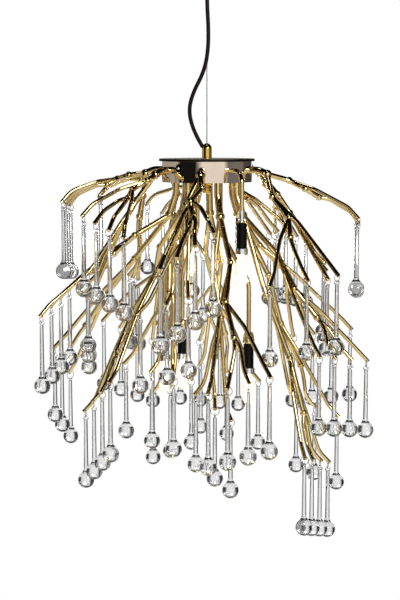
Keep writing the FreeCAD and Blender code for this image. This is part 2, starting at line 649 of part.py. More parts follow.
def bulb():
    """A frosted capsule on a narrow foot that plugs into the socket."""
    radius = BULB_DIAMETER / 2
    foot = BULB_NECK_DIAMETER / 2
    top = -LAMP_TUBE_LENGTH - SOCKET_LENGTH + SOCKET_BORE_DEPTH - LOOSE_GAP
    neck = -LAMP_TUBE_LENGTH - SOCKET_LENGTH - COLLAR_HEIGHT - BULB_NECK_LENGTH
    end = top - BULB_LENGTH
    shoulder = neck - (radius - foot)
    slant = math.sqrt(0.5)
    nose = Vector(0, 0, end + radius)
    edges = [
        line(Vector(0, 0, top), Vector(foot, 0, top)),
        line(Vector(foot, 0, top), Vector(foot, 0, neck)),
        line(Vector(foot, 0, neck), Vector(radius, 0, shoulder)),
        line(Vector(radius, 0, shoulder), Vector(radius, 0, nose.z)),
        arc(Vector(radius, 0, nose.z), nose + Vector(slant, 0, -slant) * radius, Vector(0, 0, end)),
        line(Vector(0, 0, end), Vector(0, 0, top)),
    ]
    return revolved(edges)


def limb_rows():
    """Every limb with the name of its row of drops and the points they hang from."""
    rows = []
    for level, arms in (("upper", UPPER_ARMS), ("lower", LOWER_ARMS)):
        for number, arm in enumerate(arms, 1):
            fork = trunk_points(arm, level == "upper")[-1]
            for side, limb, hand in zip(("outer", "inner"), arm.limbs, LIMB_HANDS):
                _, twigs = limb_lines(fork, limb, hand)
                rows.append((f"drops_{level}_{number}_{side}", limb, hang_points(twigs)))
    return rows


def main():
    os.makedirs("parts", exist_ok=True)
    rows = limb_rows()
    nodes = {
        "ceiling_plate": ceiling_plate(),
        "ceiling_cup": ceiling_cup(),
        "wire_gripper": wire_gripper(),
        "cord_grip": cord_grip(),
        "suspension_wire": suspension_wire(),
        "power_cord": power_cord(),
        "wire_cap": wire_cap(),
        "top_plate": top_plate(),
        "ring_band": ring_band(),
        "bottom_plate": bottom_plate(),
        "finial_ball": finial_ball(),
        "arm_nuts": arm_nuts(),
        "lamp_arms": Part.makeCompound(
            [tube(lamp_arm_points(lamp, upper), LAMP_ARM_DIAMETER) for lamp, upper in all_lamps()]),
        "lamp_tubes": at_lamps(lamp_tube()),
        "lamp_sockets": at_lamps(lamp_socket()),
        "lamp_collars": at_lamps(lamp_collar()),
        "bulbs": at_lamps(bulb()),
        "hang_rings": Part.makeCompound(
            [hang_ring(tip, square) for _, _, points in rows for tip, square in points]),
    }
    for level, arms in (("upper", UPPER_ARMS), ("lower", LOWER_ARMS)):
        for number, arm in enumerate(arms, 1):
            nodes[f"arm_{level}_{number}"] = branch_arm(arm, level == "upper")
    drop = glass_drop()
    for name, _, points in rows:
        nodes[name] = drop_row(points, drop)
    for name, shape in nodes.items():
        shape.exportStep(f"parts/{name}.step")
    print(len(nodes), "nodes,", sum(len(shape.Solids) for shape in nodes.values()), "solids")


if __name__ == "__main__":
    main()
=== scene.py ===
import bmesh
import bpy
import json
import math
import numpy as np
from mathutils import Matrix, Vector


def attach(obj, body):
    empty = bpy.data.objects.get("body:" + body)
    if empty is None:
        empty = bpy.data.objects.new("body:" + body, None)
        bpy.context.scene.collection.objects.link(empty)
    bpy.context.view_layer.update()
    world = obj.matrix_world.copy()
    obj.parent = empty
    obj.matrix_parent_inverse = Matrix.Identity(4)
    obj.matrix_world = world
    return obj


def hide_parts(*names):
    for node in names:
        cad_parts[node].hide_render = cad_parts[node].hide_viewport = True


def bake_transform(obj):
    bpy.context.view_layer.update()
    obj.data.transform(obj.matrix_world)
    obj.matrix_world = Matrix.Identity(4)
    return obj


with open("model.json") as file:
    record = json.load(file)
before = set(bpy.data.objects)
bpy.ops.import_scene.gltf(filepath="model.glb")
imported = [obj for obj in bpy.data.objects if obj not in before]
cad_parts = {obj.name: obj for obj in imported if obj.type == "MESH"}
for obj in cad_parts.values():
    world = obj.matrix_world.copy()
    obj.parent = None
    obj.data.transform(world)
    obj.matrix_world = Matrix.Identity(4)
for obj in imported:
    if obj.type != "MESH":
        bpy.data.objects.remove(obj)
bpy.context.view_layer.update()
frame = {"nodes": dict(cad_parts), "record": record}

# Metres, +Z up, origin on the ceiling. The front of the chandelier faces -Y.
DRUM_TOP = -0.346
BAND_RADIUS = 0.0795
PLATE_RADIUS = 0.084
UP = Vector((0, 0, 1))

# Camera, at the photograph's distance and height
CAMERA_PLACE = Vector((-0.012, -2.4, DRUM_TOP + 0.042))
CAMERA_AIM = Vector((-0.012, 0.0, DRUM_TOP - 0.25))
CAMERA_LENS = 81.7
CAMERA_SENSOR = 36
CAMERA_REACH = 60

# Power cord: the route from the wire cap to the ceiling cup, from the drum's top
CORD_ROUTE = [
    (-0.0072, -0.0023, 0.0200),
    (-0.0210, -0.0045, 0.0424),
    (-0.0320, -0.0080, 0.0790),
    (-0.0260, -0.0100, 0.1100),
    (-0.0050, -0.0120, 0.1500),
    (0.0020, -0.0132, 0.1850),
    (0.0026, -0.0154, 0.2250),
    (0.0000, -0.0180, 0.2640),
    (0.0000, -0.0180, 0.3000),
]
CORD_DIAMETER = 0.007
CORD_SIDES = 20
CORD_STEPS = 10

# Suspension wire: straight up from its stop in the cap to the gripper
WIRE_ROUTE = [(0, 0, -0.3283), (0, 0, -0.25), (0, 0, -0.13), (0, 0, -0.031)]
WIRE_DIAMETER = 0.002
WIRE_SIDES = 24
WIRE_STEPS = 150
WIRE_STRANDS = 6
WIRE_LAY = 0.014
STRAND_DEPTH = 0.14
WIRE_STOP = [(0, -0.3283), (0.0024, -0.3283), (0.003, -0.3289), (0.003, -0.3327), (0.0024, -0.3333),
             (0, -0.3333)]

# Glass drop, from the top of its eye
DROP_LENGTH = 0.128
DROP_SIDES = 40
BALL_RADIUS = 0.0145
BALL_STEPS = 22
EYE_RADIUS = 0.0035
EYE_WIRE_RADIUS = 0.0015
EYE_CENTRE = -0.005
EYE_AROUND = 28
EYE_ACROSS = 14
EYE_SHARE = 0.009
STEM_TOP = -0.0076
STEM_TOP_RADIUS = 0.0033
STEM_END_RADIUS = 0.0041
STEM_STEPS = 4
FLARE_RADIUS = 0.013
FLARE_STEPS = 8
GROUPING_ROUNDS = 20

# Domed nuts on the band: height below the drum's top, and outlines along the nut's axis
NUT_AZIMUTHS = (233, 150, 7)
NUT_DROP = 0.0155
NUT_RADIUS = 0.0028
NUT_SHOULDER = 0.0016
NUT_BASE = 0.0013
NUT_SEAT = [(0, 0.0012), (0.0064, 0.0012), (0.0072, 0.0006), (0.0072, -0.0004), (0, -0.0004)]

# Lamp trims: outlines from the foot of a lamp's tube
LAMP_COUNT = 6
LOWER_LAMPS_DROP = 0.2
WASHER_OUTLINE = [(0.0050, 0.0018), (0.0104, 0.0018), (0.0110, 0.0012), (0.0110, 0.0006), (0.0104, 0.0001),
                  (0.0050, 0.0001), (0.0050, 0.0018)]
BELL_OUTLINE = [(0.0050, 0.0195), (0.0066, 0.0195), (0.0074, 0.0188), (0.0086, 0.0150), (0.0098, 0.0100),
                (0.0104, 0.0050), (0.0106, 0.0006), (0.0103, 0.0002), (0.0096, 0.0002), (0.0094, 0.0050),
                (0.0088, 0.0100), (0.0076, 0.0150), (0.0064, 0.0180), (0.0050, 0.0180), (0.0050, 0.0195)]

# Finishes: bump distances are in metres, and colours have their alpha last
METAL_BUMP_DISTANCE = 0.0004
GLASS_BUMP_DISTANCE = 0.0006
PLASTIC_BUMP_DISTANCE = 0.0003
MARK_STRETCH = (1.0, 1.0, 0.12)
DUST_AMOUNT = 0.15
DUST_ROUGHNESS = 0.5
DUST_COLOUR = (0.3, 0.28, 0.25, 1)
PLASTIC_GRAIN = 1600.0
PLASTIC_BUMP = 0.12
PLASTIC_SPECULAR = 0.12
PLASTIC_DEEPENING = 0.6
GLASS_IOR = 1.5
BULB_STRENGTH = 6.0
BULB_EDGE_COLOUR = (0.13, 0.07, 0.02, 1)
# Painted shade: the top plate's outer edge is painted near black from RIM_START outward.
RIM_START = PLATE_RADIUS - 0.0025
RIM_END = PLATE_RADIUS - 0.0008
RIM_SHADE_COLOUR = (0.035, 0.024, 0.016, 1)

# Studio walls: (turn, brightness) stops, with the back at 0 and 1, the left at 0.25 and the front at 0.5
WALLS_AT_DRUM = [
    (0.0, 1.0), (0.05, 1.0), (0.07, 0.40), (0.28, 0.50), (0.30, 0.01), (0.42, 0.01), (0.47, 1.0), (0.62, 1.0),
    (0.65, 0.20), (0.78, 0.20), (0.80, 0.09), (0.92, 0.05), (0.95, 1.0)]
WALLS_AT_ARMS = [
    (0.0, 1.0), (0.05, 1.0), (0.08, 0.01), (0.19, 0.01), (0.21, 0.40), (0.27, 0.40), (0.29, 0.005),
    (0.43, 0.005), (0.47, 1.0), (0.60, 1.0), (0.63, 0.08), (0.78, 0.08), (0.80, 0.01), (0.92, 0.01), (0.95, 1.0)]
WALLS_BEHIND_GLASS = [
    (0.0, 1.0), (0.05, 1.0), (0.08, 0.02), (0.165, 0.02), (0.19, 1.0), (0.38, 1.0), (0.40, 0.05), (0.44, 0.05),
    (0.46, 1.0), (0.54, 1.0), (0.56, 0.05), (0.60, 0.05), (0.62, 1.0), (0.81, 1.0), (0.835, 0.02), (0.92, 0.02),
    (0.95, 1.0)]
LEVEL_START, LEVEL_END = 0.08, 0.16
CEILING_START, CEILING_END = 0.32, 0.44
CEILING_COLOUR = (0.004, 0.004, 0.004, 1)
WHITE = (1, 1, 1, 1)

# Studio floor and lamps: name, place, size and watts
FLOOR_LEVEL = -1.6
FLOOR_RADIUS = 1.3
FLOOR_FADE = 1.25
FLOOR_MIDDLE, FLOOR_EDGE = 0.8, 1.0
FLOOR_TONES = [(0.3, (0.86, 0.86, 0.85, 1)), (0.7, (0.9, 0.9, 0.89, 1))]
STUDIO_LAMPS = [
    ("softbox", (1.0, -2.3, 0.5), 0.9, 26.0),
    ("toplight", (0.0, -0.4, 2.3), 0.45, 4.0),
    ("backlight", (-0.05, 2.4, -0.58), 0.42, 12.0),
]
LAMP_AIM = Vector((0, 0, -0.6))


# Shapes


def show(name, data):
    """A new object in the scene."""
    made = bpy.data.objects.new(name, data)
    bpy.context.scene.collection.objects.link(made)
    return made


def aimed(thing, place, target):
    """Sets a camera or lamp at a place, looking at a target."""
    thing.location = place
    thing.rotation_mode = "QUATERNION"
    thing.rotation_quaternion = (target - Vector(place)).to_track_quat("-Z", "Y")


def spline_points(route, steps):
    """Points along the NURBS spline whose control points are the route."""
    curve = bpy.data.curves.new("route", "CURVE")
    curve.dimensions = "3D"
    curve.resolution_u = steps
    spline = curve.splines.new("NURBS")
    spline.points.add(len(route) - 1)
    for point, place in zip(spline.points, route):
        point.co = (*place, 1)
    spline.order_u = 3
    spline.use_endpoint_u = True
    guide = bpy.data.objects.new("route", curve)
    mesh = bpy.data.meshes.new_from_object(guide)
    points = [vertex.co.copy() for vertex in mesh.vertices]
    bpy.data.objects.remove(guide)
    bpy.data.meshes.remove(mesh)
    bpy.data.curves.remove(curve)
    return points


def swept(name, points, sides, radius_at):
    """A closed tube along points, with its radius given by distance and angle."""
    mesh = bpy.data.meshes.new(name)
    work = bmesh.new()
    ahead = (points[1] - points[0]).normalized()
    side = ahead.orthogonal().normalized()
    rings = []
    distance = 0.0
    for index, point in enumerate(points):
        before = points[max(index - 1, 0)]
        after = points[min(index + 1, len(points) - 1)]
        heading = (after - before).normalized()
        side = ahead.rotation_difference(heading) @ side
        ahead = heading
        across = ahead.cross(side)
        distance += (point - before).length
        ring = []
        for k in range(sides):
            angle = 2 * math.pi * k / sides
            out = side * math.cos(angle) + across * math.sin(angle)
            ring.append(work.verts.new(point + out * radius_at(distance, angle)))
        rings.append(ring)
    for low, high in zip(rings, rings[1:]):
        for k in range(sides):
            work.faces.new((low[k], low[(k + 1) % sides], high[(k + 1) % sides], high[k]))
    work.faces.new(rings[0][::-1])
    work.faces.new(rings[-1])
    work.to_mesh(mesh)
    work.free()
    mesh.shade_smooth()
    return mesh


def turned(name, outline, sides, sharp=None):
    """A lathe form about the Z axis from (radius, height) points; edges past the sharp angle stay crisp."""
    mesh = bpy.data.meshes.new(name)
    work = bmesh.new()
    rows = []
    for radius, height in outline:
        if radius < 1e-6:
            rows.append([work.verts.new((0, 0, height))])
            continue
        row = []
        for k in range(sides):
            angle = 2 * math.pi * k / sides
            row.append(work.verts.new((radius * math.cos(angle), radius * math.sin(angle), height)))
        rows.append(row)
    for high, low in zip(rows, rows[1:]):
        for k in range(sides):
            after = (k + 1) % sides
            corners = [high[k % len(high)], low[k % len(low)], low[after % len(low)], high[after % len(high)]]
            work.faces.new(list(dict.fromkeys(corners)))
    work.to_mesh(mesh)
    work.free()
    mesh.shade_smooth()
    if sharp:
        mesh.set_sharp_from_angle(angle=math.radians(sharp))
    return mesh


def arc_points(centre, radius, start, end, steps):
    """(radius, height) points along an arc; angles in degrees."""
    points = []
    for k in range(steps + 1):
        angle = math.radians(start + (end - start) * k / steps)
        points.append((centre[0] + radius * math.cos(angle), centre[1] + radius * math.sin(angle)))
    return points


def joined(name, meshes):
    """One mesh from several."""
    work = bmesh.new()
    for mesh in meshes:
        work.from_mesh(mesh)
    whole = bpy.data.meshes.new(name)
    work.to_mesh(whole)
    work.free()
    whole.shade_smooth()
    return whole


def moved(mesh, place, heading=0.0):
    """A copy of a mesh turned about Z and set at a place."""
    copy = mesh.copy()
    copy.transform(Matrix.Translation(place) @ Matrix.Rotation(heading, 4, "Z"))
    return copy


def united(first, second):
    """The union of two closed meshes."""
    base = show("union", first)
    other = show("other", second)
    step = base.modifiers.new("union", "BOOLEAN")
    step.operation = "UNION"
    step.object = other
    step.solver = "EXACT"
    bpy.context.view_layer.update()
    whole = bpy.data.meshes.new_from_object(base.evaluated_get(bpy.context.evaluated_depsgraph_get()))
    bpy.data.objects.remove(base)
    bpy.data.objects.remove(other)
    whole.shade_smooth()
    return whole


# Shader nodes


def node(tree, kind, inputs=None, **settings):
    """A shader node with its settings, values and links."""
    made = tree.nodes.new(kind)
    for key, value in settings.items():
        setattr(made, key, value)
    for key, value in (inputs or {}).items():
        if isinstance(value, bpy.types.NodeSocket):
            tree.links.new(value, made.inputs[key])
        else:
            made.inputs[key].default_value = value
    return made


def calc(tree, operation, first, second=0.0):
    """The result of a math node."""
    return node(tree, "ShaderNodeMath", {0: first, 1: second}, operation=operation).outputs[0]


def mapped(tree, value, start, end, low=0.0, high=1.0, **settings):
    """A value carried from the range start to end over to the range low to high."""
    return node(tree, "ShaderNodeMapRange", {0: value, 1: start, 2: end, 3: low, 4: high}, **settings).outputs[0]


def object_space(tree):
    """The place on the object, in its own frame."""
    return node(tree, "ShaderNodeTexCoord").outputs["Object"]


def axis_distance(tree):
    """How far the place lies from the object's Z axis."""
    flat = node(tree, "ShaderNodeVectorMath", {0: object_space(tree), 1: (1, 1, 0)}, operation="MULTIPLY")
    return node(tree, "ShaderNodeVectorMath", {0: flat.outputs[0]}, operation="LENGTH").outputs["Value"]


def noise(tree, where, scale, detail, roughness=0.5):
    """The value of a noise texture."""
    values = {"Vector": where, "Scale": scale, "Detail": detail, "Roughness": roughness}
    return node(tree, "ShaderNodeTexNoise", values).outputs["Fac"]


def blended(tree, factor, first, second):
    """A colour between two colours."""
    mix = node(tree, "ShaderNodeMix", data_type="RGBA")
    colours = [socket for socket in mix.inputs if socket.type == "RGBA"]
    for socket, value in zip([mix.inputs[0], *colours], (factor, first, second)):
        if isinstance(value, bpy.types.NodeSocket):
            tree.links.new(value, socket)
        else:
            socket.default_value = value
    return next(socket for socket in mix.outputs if socket.type == "RGBA")


def ramped(tree, factor, stops):
    """A colour ramp with (position, colour) stops; a single number is a grey."""
    made = node(tree, "ShaderNodeValToRGB", {"Fac": factor})
    elements = made.color_ramp.elements
    while len(elements) < len(stops):
        elements.new(1.0)
    for element, (position, colour) in zip(elements, stops):
        element.position = position
        element.color = colour if isinstance(colour, tuple) else (colour, colour, colour, 1)
    return made.outputs["Color"]


# Shared effects

FLOAT = "NodeSocketFloat"
COLOUR = "NodeSocketColor"


def effect(name, inputs, outputs):
    """An empty shader node group with named sockets."""
    tree = bpy.data.node_groups.new(name, "ShaderNodeTree")
    for label, kind, value in inputs:
        socket = tree.interface.new_socket(label, in_out="INPUT", socket_type=kind)
        socket.default_value = value
    for label, kind in outputs:
        tree.interface.new_socket(label, in_out="OUTPUT", socket_type=kind)
    return tree, tree.nodes.new("NodeGroupInput").outputs, tree.nodes.new("NodeGroupOutput").inputs


def polishing_effect():
    """Buffing haze and fine wheel marks: a roughness and a height."""
    tree, given, put = effect(
        "polishing",
        [("Haze Scale", FLOAT, 60.0), ("Mark Scale", FLOAT, 900.0), ("Low", FLOAT, 0.08), ("High", FLOAT, 0.2)],
        [("Roughness", FLOAT), ("Height", FLOAT)])
    where = object_space(tree)
    haze = noise(tree, where, given["Haze Scale"], 4.0, 0.6)
    long = node(tree, "ShaderNodeMapping", {"Vector": where, "Scale": MARK_STRETCH}).outputs[0]
    marks = noise(tree, long, given["Mark Scale"], 2.0)
    both = calc(tree, "ADD", calc(tree, "MULTIPLY", haze, 0.7), calc(tree, "MULTIPLY", marks, 0.3))
    tree.links.new(mapped(tree, both, 0.3, 0.7, given["Low"], given["High"]), put["Roughness"])
    tree.links.new(both, put["Height"])
    return tree


def toning_and_hollow_shade_effect():
    """Colour that drifts over a surface at random, with painted shade that deepens it in its hollows."""
    tree, given, put = effect(
        "toning_and_hollow_shade",
        [("Colour", COLOUR, WHITE), ("Deep Colour", COLOUR, (0.5, 0.5, 0.5, 1)), ("Scale", FLOAT, 14.0),
         ("Hollow", FLOAT, 0.5)],
        [("Colour", COLOUR)])
    drift = mapped(tree, noise(tree, object_space(tree), given["Scale"], 3.0), 0.4, 0.72, 0.0, 0.6)
    bend = node(tree, "ShaderNodeNewGeometry").outputs["Pointiness"]
    # Painted shade: the colour deepens in the surface's hollows and creases, read from its pointiness.
    hollow_shade = mapped(tree, bend, 0.5, 0.42, 0.0, given["Hollow"])
    amount = calc(tree, "MAXIMUM", drift, hollow_shade)
    tree.links.new(blended(tree, amount, given["Colour"], given["Deep Colour"]), put["Colour"])
    return tree


def dust_effect():
    """Fine dust on faces that look up: a mask."""
    tree, given, put = effect("dust", [("Amount", FLOAT, DUST_AMOUNT), ("Scale", FLOAT, 180.0)], [("Mask", FLOAT)])
    normal = node(tree, "ShaderNodeNewGeometry").outputs["Normal"]
    facing = mapped(tree, node(tree, "ShaderNodeSeparateXYZ", {0: normal}).outputs["Z"], 0.35, 1.0)
    patchy = mapped(tree, noise(tree, object_space(tree), given["Scale"], 6.0, 0.75), 0.45, 0.7)
    mask = calc(tree, "MULTIPLY", calc(tree, "MULTIPLY", facing, patchy), given["Amount"])
    tree.links.new(mask, put["Mask"])
    return tree


def casting_effect():
    """Soft waves and long file strokes left in a cast and hand-finished tube: a height."""
    tree, given, put = effect(
        "casting",
        [("Scale", FLOAT, 45.0), ("Stroke Scale", FLOAT, 300.0), ("Strokes", FLOAT, 0.4)],
        [("Height", FLOAT)])
    where = object_space(tree)
    broad = noise(tree, where, given["Scale"], 1.5, 0.4)
    long = node(tree, "ShaderNodeMapping", {"Vector": where, "Scale": MARK_STRETCH}).outputs[0]
    strokes = noise(tree, long, given["Stroke Scale"], 1.0)
    height = calc(tree, "ADD", broad, calc(tree, "MULTIPLY", strokes, given["Strokes"]))
    tree.links.new(height, put["Height"])
    return tree


POLISHING = polishing_effect()
CASTING = casting_effect()
TONING_AND_HOLLOW_SHADE = toning_and_hollow_shade_effect()
DUST = dust_effect()


def placed(tree, group, **values):
    """A shared effect with its own values."""
    made = node(tree, "ShaderNodeGroup", node_tree=group)
    for key, value in values.items():
        made.inputs[key.replace("_", " ")].default_value = value
    return made.outputs


# Materials


def fresh(name):
    """A new material with its principled shader."""
    material = bpy.data.materials.new(name)
    material.use_nodes = True
    tree = material.node_tree
    return material, tree, tree.nodes["Principled BSDF"]


def raised(tree, shader, height, strength, distance):
    """A bump from a height into the shader's normal."""
    bump = node(tree, "ShaderNodeBump", {"Height": height, "Strength": strength, "Distance": distance})
    tree.links.new(bump.outputs[0], shader.inputs["Normal"])


def plated_metal(name, colour, deep, low, high, bump=0.05, waves=0.0):
    """Polished plate: drifting colour with painted shade in its hollows, buffing haze, wheel marks, casting waves
    and a little dust.
    """
    material, tree, shader = fresh(name)
    shader.inputs["Metallic"].default_value = 1.0
    # Base colour drifts at random and carries painted shade in the hollows.
    tone_and_shade = placed(tree, TONING_AND_HOLLOW_SHADE, Colour=(*colour, 1), Deep_Colour=(*deep, 1))
    buff = placed(tree, POLISHING, Low=low, High=high)
    dulled = calc(tree, "MULTIPLY", placed(tree, DUST)["Mask"], DUST_ROUGHNESS)
    tree.links.new(tone_and_shade["Colour"], shader.inputs["Base Color"])
    tree.links.new(calc(tree, "ADD", buff["Roughness"], dulled), shader.inputs["Roughness"])
    if waves:
        cast = calc(tree, "MULTIPLY", placed(tree, CASTING)["Height"], waves)
        height = calc(tree, "ADD", calc(tree, "MULTIPLY", buff["Height"], bump), cast)
        raised(tree, shader, height, 1.0, METAL_BUMP_DISTANCE)
    else:
        raised(tree, shader, buff["Height"], bump, METAL_BUMP_DISTANCE)
    return material


def plate_with_shaded_rim():
    """The drum's top plate: satin on top, with painted shade darkening its outer edge."""
    material = plated_metal("top_plate", (0.74, 0.61, 0.47), (0.56, 0.43, 0.30), 0.5, 0.65, bump=0.02)
    tree = material.node_tree
    colour = tree.nodes["Principled BSDF"].inputs["Base Color"]
    # Painted shade on the plate's outer edge, masked by distance from the axis.
    rim_shade = mapped(tree, axis_distance(tree), RIM_START, RIM_END)
    tree.links.new(blended(tree, rim_shade, colour.links[0].from_socket, RIM_SHADE_COLOUR), colour)
    return material


def zinc_plate():
    """Zinc-plated steel with its spangle."""
    material, tree, shader = fresh("zinc_steel")
    shader.inputs["Metallic"].default_value = 1.0
    spangle = node(tree, "ShaderNodeTexVoronoi", {"Vector": object_space(tree), "Scale": 160.0}).outputs["Color"]
    shade = ramped(tree, node(tree, "ShaderNodeSeparateColor", {0: spangle}).outputs[0],
                   [(0.0, (0.42, 0.44, 0.46, 1)), (1.0, (0.66, 0.68, 0.70, 1))])
    buff = placed(tree, POLISHING, Low=0.28, High=0.45)
    tree.links.new(shade, shader.inputs["Base Color"])
    tree.links.new(buff["Roughness"], shader.inputs["Roughness"])
    raised(tree, shader, buff["Height"], 0.1, METAL_BUMP_DISTANCE)
    return material


def moulded_plastic(name, colour, low, high):
    """Glossy moulded plastic with a fine skin, dust on top, and drifting colour with painted shade in its hollows.
    """
    material, tree, shader = fresh(name)
    shader.inputs["Specular IOR Level"].default_value = PLASTIC_SPECULAR
    deep = [value * PLASTIC_DEEPENING for value in colour]
    # Base colour drifts at random and carries painted shade in the hollows.
    tone_and_shade = placed(tree, TONING_AND_HOLLOW_SHADE, Colour=(*colour, 1), Deep_Colour=(*deep, 1))
    skin = placed(tree, POLISHING, Low=low, High=high, Mark_Scale=PLASTIC_GRAIN)
    dusty = blended(tree, placed(tree, DUST)["Mask"], tone_and_shade["Colour"], DUST_COLOUR)
    tree.links.new(dusty, shader.inputs["Base Color"])
    tree.links.new(skin["Roughness"], shader.inputs["Roughness"])
    raised(tree, shader, skin["Height"], PLASTIC_BUMP, PLASTIC_BUMP_DISTANCE)
    return material


def drop_glass():
    """Clear hand-drawn glass: a faint grey body that is painted shade, more painted shade in its hollows, soft
    ripples and finger haze.
    """
    material, tree, shader = fresh("drop_glass")
    shader.inputs["Transmission Weight"].default_value = 1.0
    shader.inputs["IOR"].default_value = GLASS_IOR
    # Painted shade: a grey body colour dims all light through the glass, and deepens further in its hollows.
    tone_and_shade = placed(tree, TONING_AND_HOLLOW_SHADE, Colour=(0.80, 0.80, 0.80, 1), Deep_Colour=(0.66, 0.66, 0.66, 1), Scale=30.0,
                  Hollow=0.9)
    buff = placed(tree, POLISHING, Low=0.0, High=0.035, Haze_Scale=45.0, Mark_Scale=160.0)
    tree.links.new(tone_and_shade["Colour"], shader.inputs["Base Color"])
    tree.links.new(buff["Roughness"], shader.inputs["Roughness"])
    raised(tree, shader, buff["Height"], 0.08, GLASS_BUMP_DISTANCE)
    return material


def bulb_glass():
    """A lit frosted capsule, hottest along its middle."""
    material, tree, shader = fresh("bulb_glass")
    shader.inputs["Base Color"].default_value = (0.95, 0.93, 0.88, 1)
    shader.inputs["Emission Strength"].default_value = BULB_STRENGTH
    frost = placed(tree, POLISHING, Low=0.25, High=0.5, Haze_Scale=220.0)
    glow = placed(tree, TONING_AND_HOLLOW_SHADE, Colour=(1.0, 0.90, 0.70, 1), Deep_Colour=(1.0, 0.74, 0.40, 1), Scale=40.0)
    facing = node(tree, "ShaderNodeLayerWeight", {"Blend": 0.5}).outputs["Facing"]
    edge = mapped(tree, facing, 0.10, 0.55)
    tree.links.new(frost["Roughness"], shader.inputs["Roughness"])
    tree.links.new(blended(tree, edge, glow["Colour"], BULB_EDGE_COLOUR), shader.inputs["Emission Color"])
    return material


FINISH = {
    "arm_gold": plated_metal("arm_gold", (0.80, 0.63, 0.31), (0.52, 0.35, 0.08), 0.03, 0.09, waves=0.35),
    "ring_gold": plated_metal("ring_gold", (0.80, 0.68, 0.55), (0.62, 0.49, 0.37), 0.03, 0.08, bump=0.02),
    "top_plate": plate_with_shaded_rim(),
    "cap_brass": plated_metal("cap_brass", (0.72, 0.47, 0.10), (0.52, 0.30, 0.05), 0.06, 0.14),
    "bright_chrome": plated_metal("bright_chrome", (0.78, 0.78, 0.79), (0.6, 0.6, 0.62), 0.04, 0.1),
    "zinc_steel": zinc_plate(),
    "wire_steel": plated_metal("wire_steel", (0.50, 0.50, 0.51), (0.34, 0.34, 0.35), 0.25, 0.4),
    "ring_wire": plated_metal("ring_wire", (0.55, 0.53, 0.50), (0.36, 0.33, 0.28), 0.12, 0.25),
    "cord_jacket": moulded_plastic("cord_jacket", (0.016, 0.011, 0.009), 0.16, 0.3),
    "black_plastic": moulded_plastic("black_plastic", (0.004, 0.004, 0.004), 0.05, 0.12),
    "bulb_glass": bulb_glass(),
    "drop_glass": drop_glass(),
}

# Finishes of the CAD nodes that stay as they are, apart from the arms
NODE_FINISH = {
    "ceiling_plate": "zinc_steel", "ceiling_cup": "ring_gold", "wire_gripper": "bright_chrome",
    "cord_grip": "black_plastic", "wire_cap": "cap_brass", "top_plate": "top_plate", "ring_band": "ring_gold",
    "bottom_plate": "ring_gold", "finial_ball": "cap_brass", "arm_nuts": "zinc_steel", "lamp_arms": "arm_gold",
    "lamp_tubes": "bright_chrome", "lamp_sockets": "black_plastic", "lamp_collars": "bright_chrome",
    "bulbs": "bulb_glass", "hang_rings": "ring_wire",
}


def dress(piece, slot, body=None):
    """Gives a piece its finish, and its body where it is not a CAD node."""
    piece.data.materials.clear()
    piece.data.materials.append(FINISH[slot])
    if body:
        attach(piece, body)


def metal_nodes():
    """Dresses the CAD nodes that stay as they are."""
    for name, piece in frame["nodes"].items():
        if name.startswith(("arm_upper", "arm_lower")):
            dress(piece, "arm_gold")
        elif name in NODE_FINISH:
            dress(piece, NODE_FINISH[name])


# Cord and wire


def power_cord():
    """The cord in its slack curve, bending between the drum and the ceiling cup."""
    points = spline_points([Vector(point) + UP * DRUM_TOP for point in CORD_ROUTE], CORD_STEPS)
    mesh = swept("power_cord_jacket", points, CORD_SIDES, lambda distance, angle: CORD_DIAMETER / 2)
    cord = show("power_cord_jacket", mesh)
    dress(cord, "cord_jacket")
    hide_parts("power_cord")
    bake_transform(cord)


def suspension_wire():
    """The stranded wire, with the stop that holds it in the cap."""
    points = spline_points([Vector(point) for point in WIRE_ROUTE], WIRE_STEPS)

    def lobes(distance, angle):
        turn = 2 * math.pi * distance / WIRE_LAY
        lobe = abs(math.cos((angle + turn) * WIRE_STRANDS / 2))
        return WIRE_DIAMETER / 2 * (1 - STRAND_DEPTH + STRAND_DEPTH * lobe)

    wire = show("suspension_strands", swept("suspension_strands", points, WIRE_SIDES, lobes))
    stop = show("suspension_stop", turned("suspension_stop", WIRE_STOP, WIRE_SIDES, sharp=40))
    dress(wire, "wire_steel", "ceiling")
    dress(stop, "wire_steel", "ceiling")
    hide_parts("suspension_wire")


# Glass drops


def drop_outline():
    """Stem, flare and ball of a drop, from its top down."""
    centre = BALL_RADIUS - DROP_LENGTH
    flare_out = STEM_END_RADIUS + FLARE_RADIUS
    flare_up = math.sqrt((BALL_RADIUS + FLARE_RADIUS) ** 2 - flare_out ** 2)
    lean = math.degrees(math.atan2(flare_up, flare_out))
    corner = STEM_TOP_RADIUS / 2
    widening = STEM_END_RADIUS - STEM_TOP_RADIUS
    fall = centre + flare_up - STEM_TOP + corner
    outline = [(0, STEM_TOP)]
    outline += arc_points((STEM_TOP_RADIUS - corner, STEM_TOP - corner), corner, 90, 0, STEM_STEPS)
    for k in range(1, STEM_STEPS):
        share = k / STEM_STEPS
        outline.append((STEM_TOP_RADIUS + widening * share, STEM_TOP - corner + fall * share))
    outline += arc_points((flare_out, centre + flare_up), FLARE_RADIUS, 180, 180 + lean, FLARE_STEPS)
    outline += arc_points((0, centre), BALL_RADIUS, lean, -90, BALL_STEPS)[1:-1]
    return outline + [(0, -DROP_LENGTH)]


